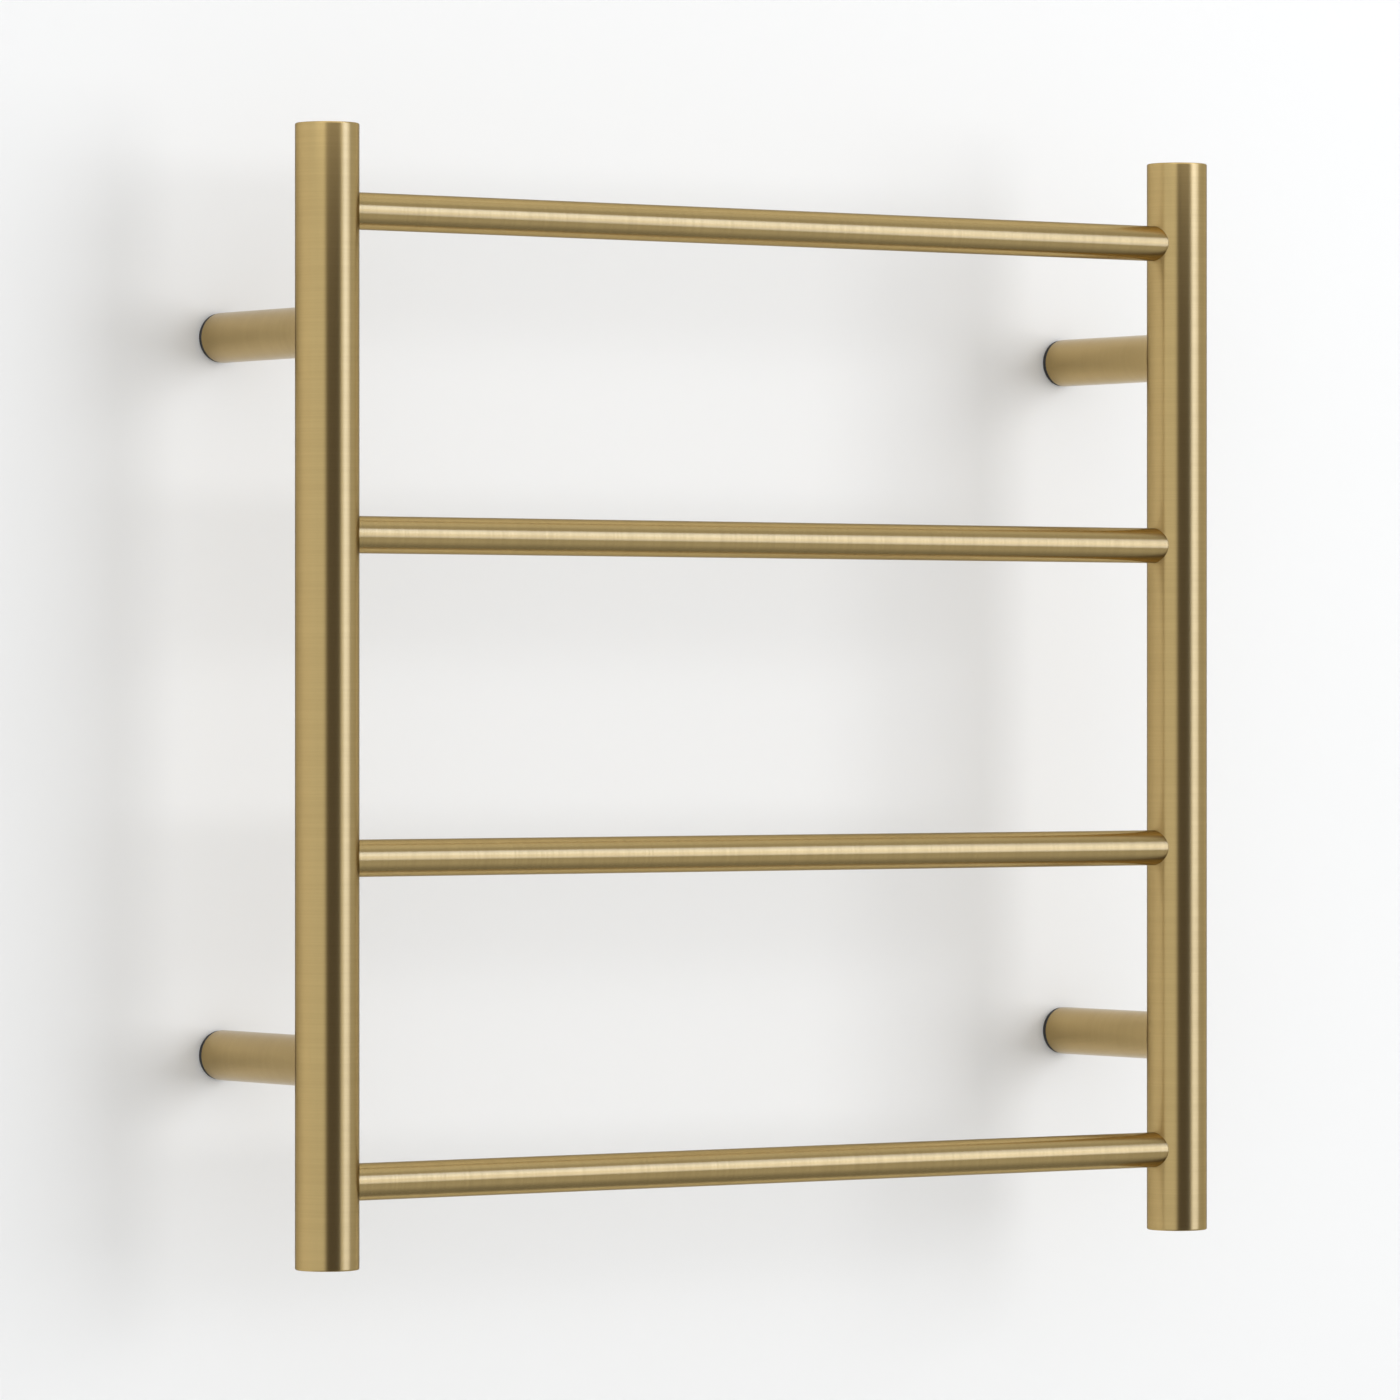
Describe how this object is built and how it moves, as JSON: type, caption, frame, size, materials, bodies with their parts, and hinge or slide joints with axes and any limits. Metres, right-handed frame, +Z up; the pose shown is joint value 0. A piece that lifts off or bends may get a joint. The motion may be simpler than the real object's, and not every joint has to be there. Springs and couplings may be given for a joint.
{
  "type": "towel warmer rack",
  "caption": "Square wall-mounted ladder rack of round brushed-brass tube, warmed by an electric cable inside and held off the wall by short round posts.",
  "frame": {"origin": "on the wall plane, at the centre of the four fixing points, which is also the middle of the rack's height and width", "axes": "+Y into the wall, so the rack stands at negative Y and faces -Y; +Z up; +X to the right of a person who faces the rack"},
  "size_m": [0.55, 0.1474, 0.55],
  "materials": {
    "brushed_brass": "stainless steel with a brass-coloured coating, brushed round the tubes",
    "machined_steel": "plain turned steel",
    "zinc_steel": "bright zinc plate",
    "stainless_screw": "plain stainless steel",
    "black_nylon": "glass-filled nylon, moulded",
    "red_silicone": "smooth silicone sheath",
    "moulded_resin": "potting resin",
    "grey_rubber": "moulded rubber"
  },
  "bodies": {
    "wall_fixings": {"left_upper_boss": "black_nylon", "left_upper_wall_screw": "zinc_steel", "left_lower_boss": "black_nylon", "left_lower_wall_screw": "zinc_steel", "right_upper_boss": "black_nylon", "right_upper_wall_screw": "zinc_steel", "right_lower_boss": "black_nylon", "right_lower_wall_screw": "zinc_steel"},
    "rack": {"left_upright": "brushed_brass", "left_top_cap": "brushed_brass", "left_bottom_cap": "brushed_brass", "right_upright": "brushed_brass", "right_top_cap": "brushed_brass", "right_bottom_cap": "brushed_brass", "towel_bar_1": "brushed_brass", "towel_bar_2": "brushed_brass", "towel_bar_3": "brushed_brass", "towel_bar_4": "brushed_brass", "heating_cable": "red_silicone", "return_cable": "red_silicone", "thermal_cutout": "moulded_resin", "lead_splice": "moulded_resin", "left_upper_post": "brushed_brass", "left_upper_bush": "machined_steel", "left_upper_nipple": "machined_steel", "left_upper_nut": "zinc_steel", "left_upper_washer": "zinc_steel", "left_lower_post": "brushed_brass", "left_lower_bush": "machined_steel", "left_lower_nipple": "machined_steel", "left_lower_nut": "zinc_steel", "earth_tag": "zinc_steel", "lead_grommet": "grey_rubber", "right_upper_post": "brushed_brass", "right_upper_bush": "machined_steel", "right_upper_nipple": "machined_steel", "right_upper_nut": "zinc_steel", "right_upper_washer": "zinc_steel", "right_lower_post": "brushed_brass", "right_lower_bush": "machined_steel", "right_lower_nipple": "machined_steel", "right_lower_nut": "zinc_steel", "right_lower_washer": "zinc_steel"},
    "left_upper_grub": {"left_upper_grub_screw": "stainless_screw"},
    "left_lower_grub": {"left_lower_grub_screw": "stainless_screw"},
    "right_upper_grub": {"right_upper_grub_screw": "stainless_screw"},
    "right_lower_grub": {"right_lower_grub_screw": "stainless_screw"}
  },
  "joints": [
    {"name": "rack_slide", "type": "slide", "parent": "wall_fixings", "child": "rack", "axis": [0, -1, 0], "range_m": [0, 0.024]},
    {"name": "left_upper_grub_screw_out", "type": "slide", "parent": "rack", "child": "left_upper_grub", "axis": [0, 0, -1], "range_m": [0, 0.0024]},
    {"name": "left_lower_grub_screw_out", "type": "slide", "parent": "rack", "child": "left_lower_grub", "axis": [0, 0, -1], "range_m": [0, 0.0024]},
    {"name": "right_upper_grub_screw_out", "type": "slide", "parent": "rack", "child": "right_upper_grub", "axis": [0, 0, -1], "range_m": [0, 0.0024]},
    {"name": "right_lower_grub_screw_out", "type": "slide", "parent": "rack", "child": "right_lower_grub", "axis": [0, 0, -1], "range_m": [0, 0.0024]}
  ]
}
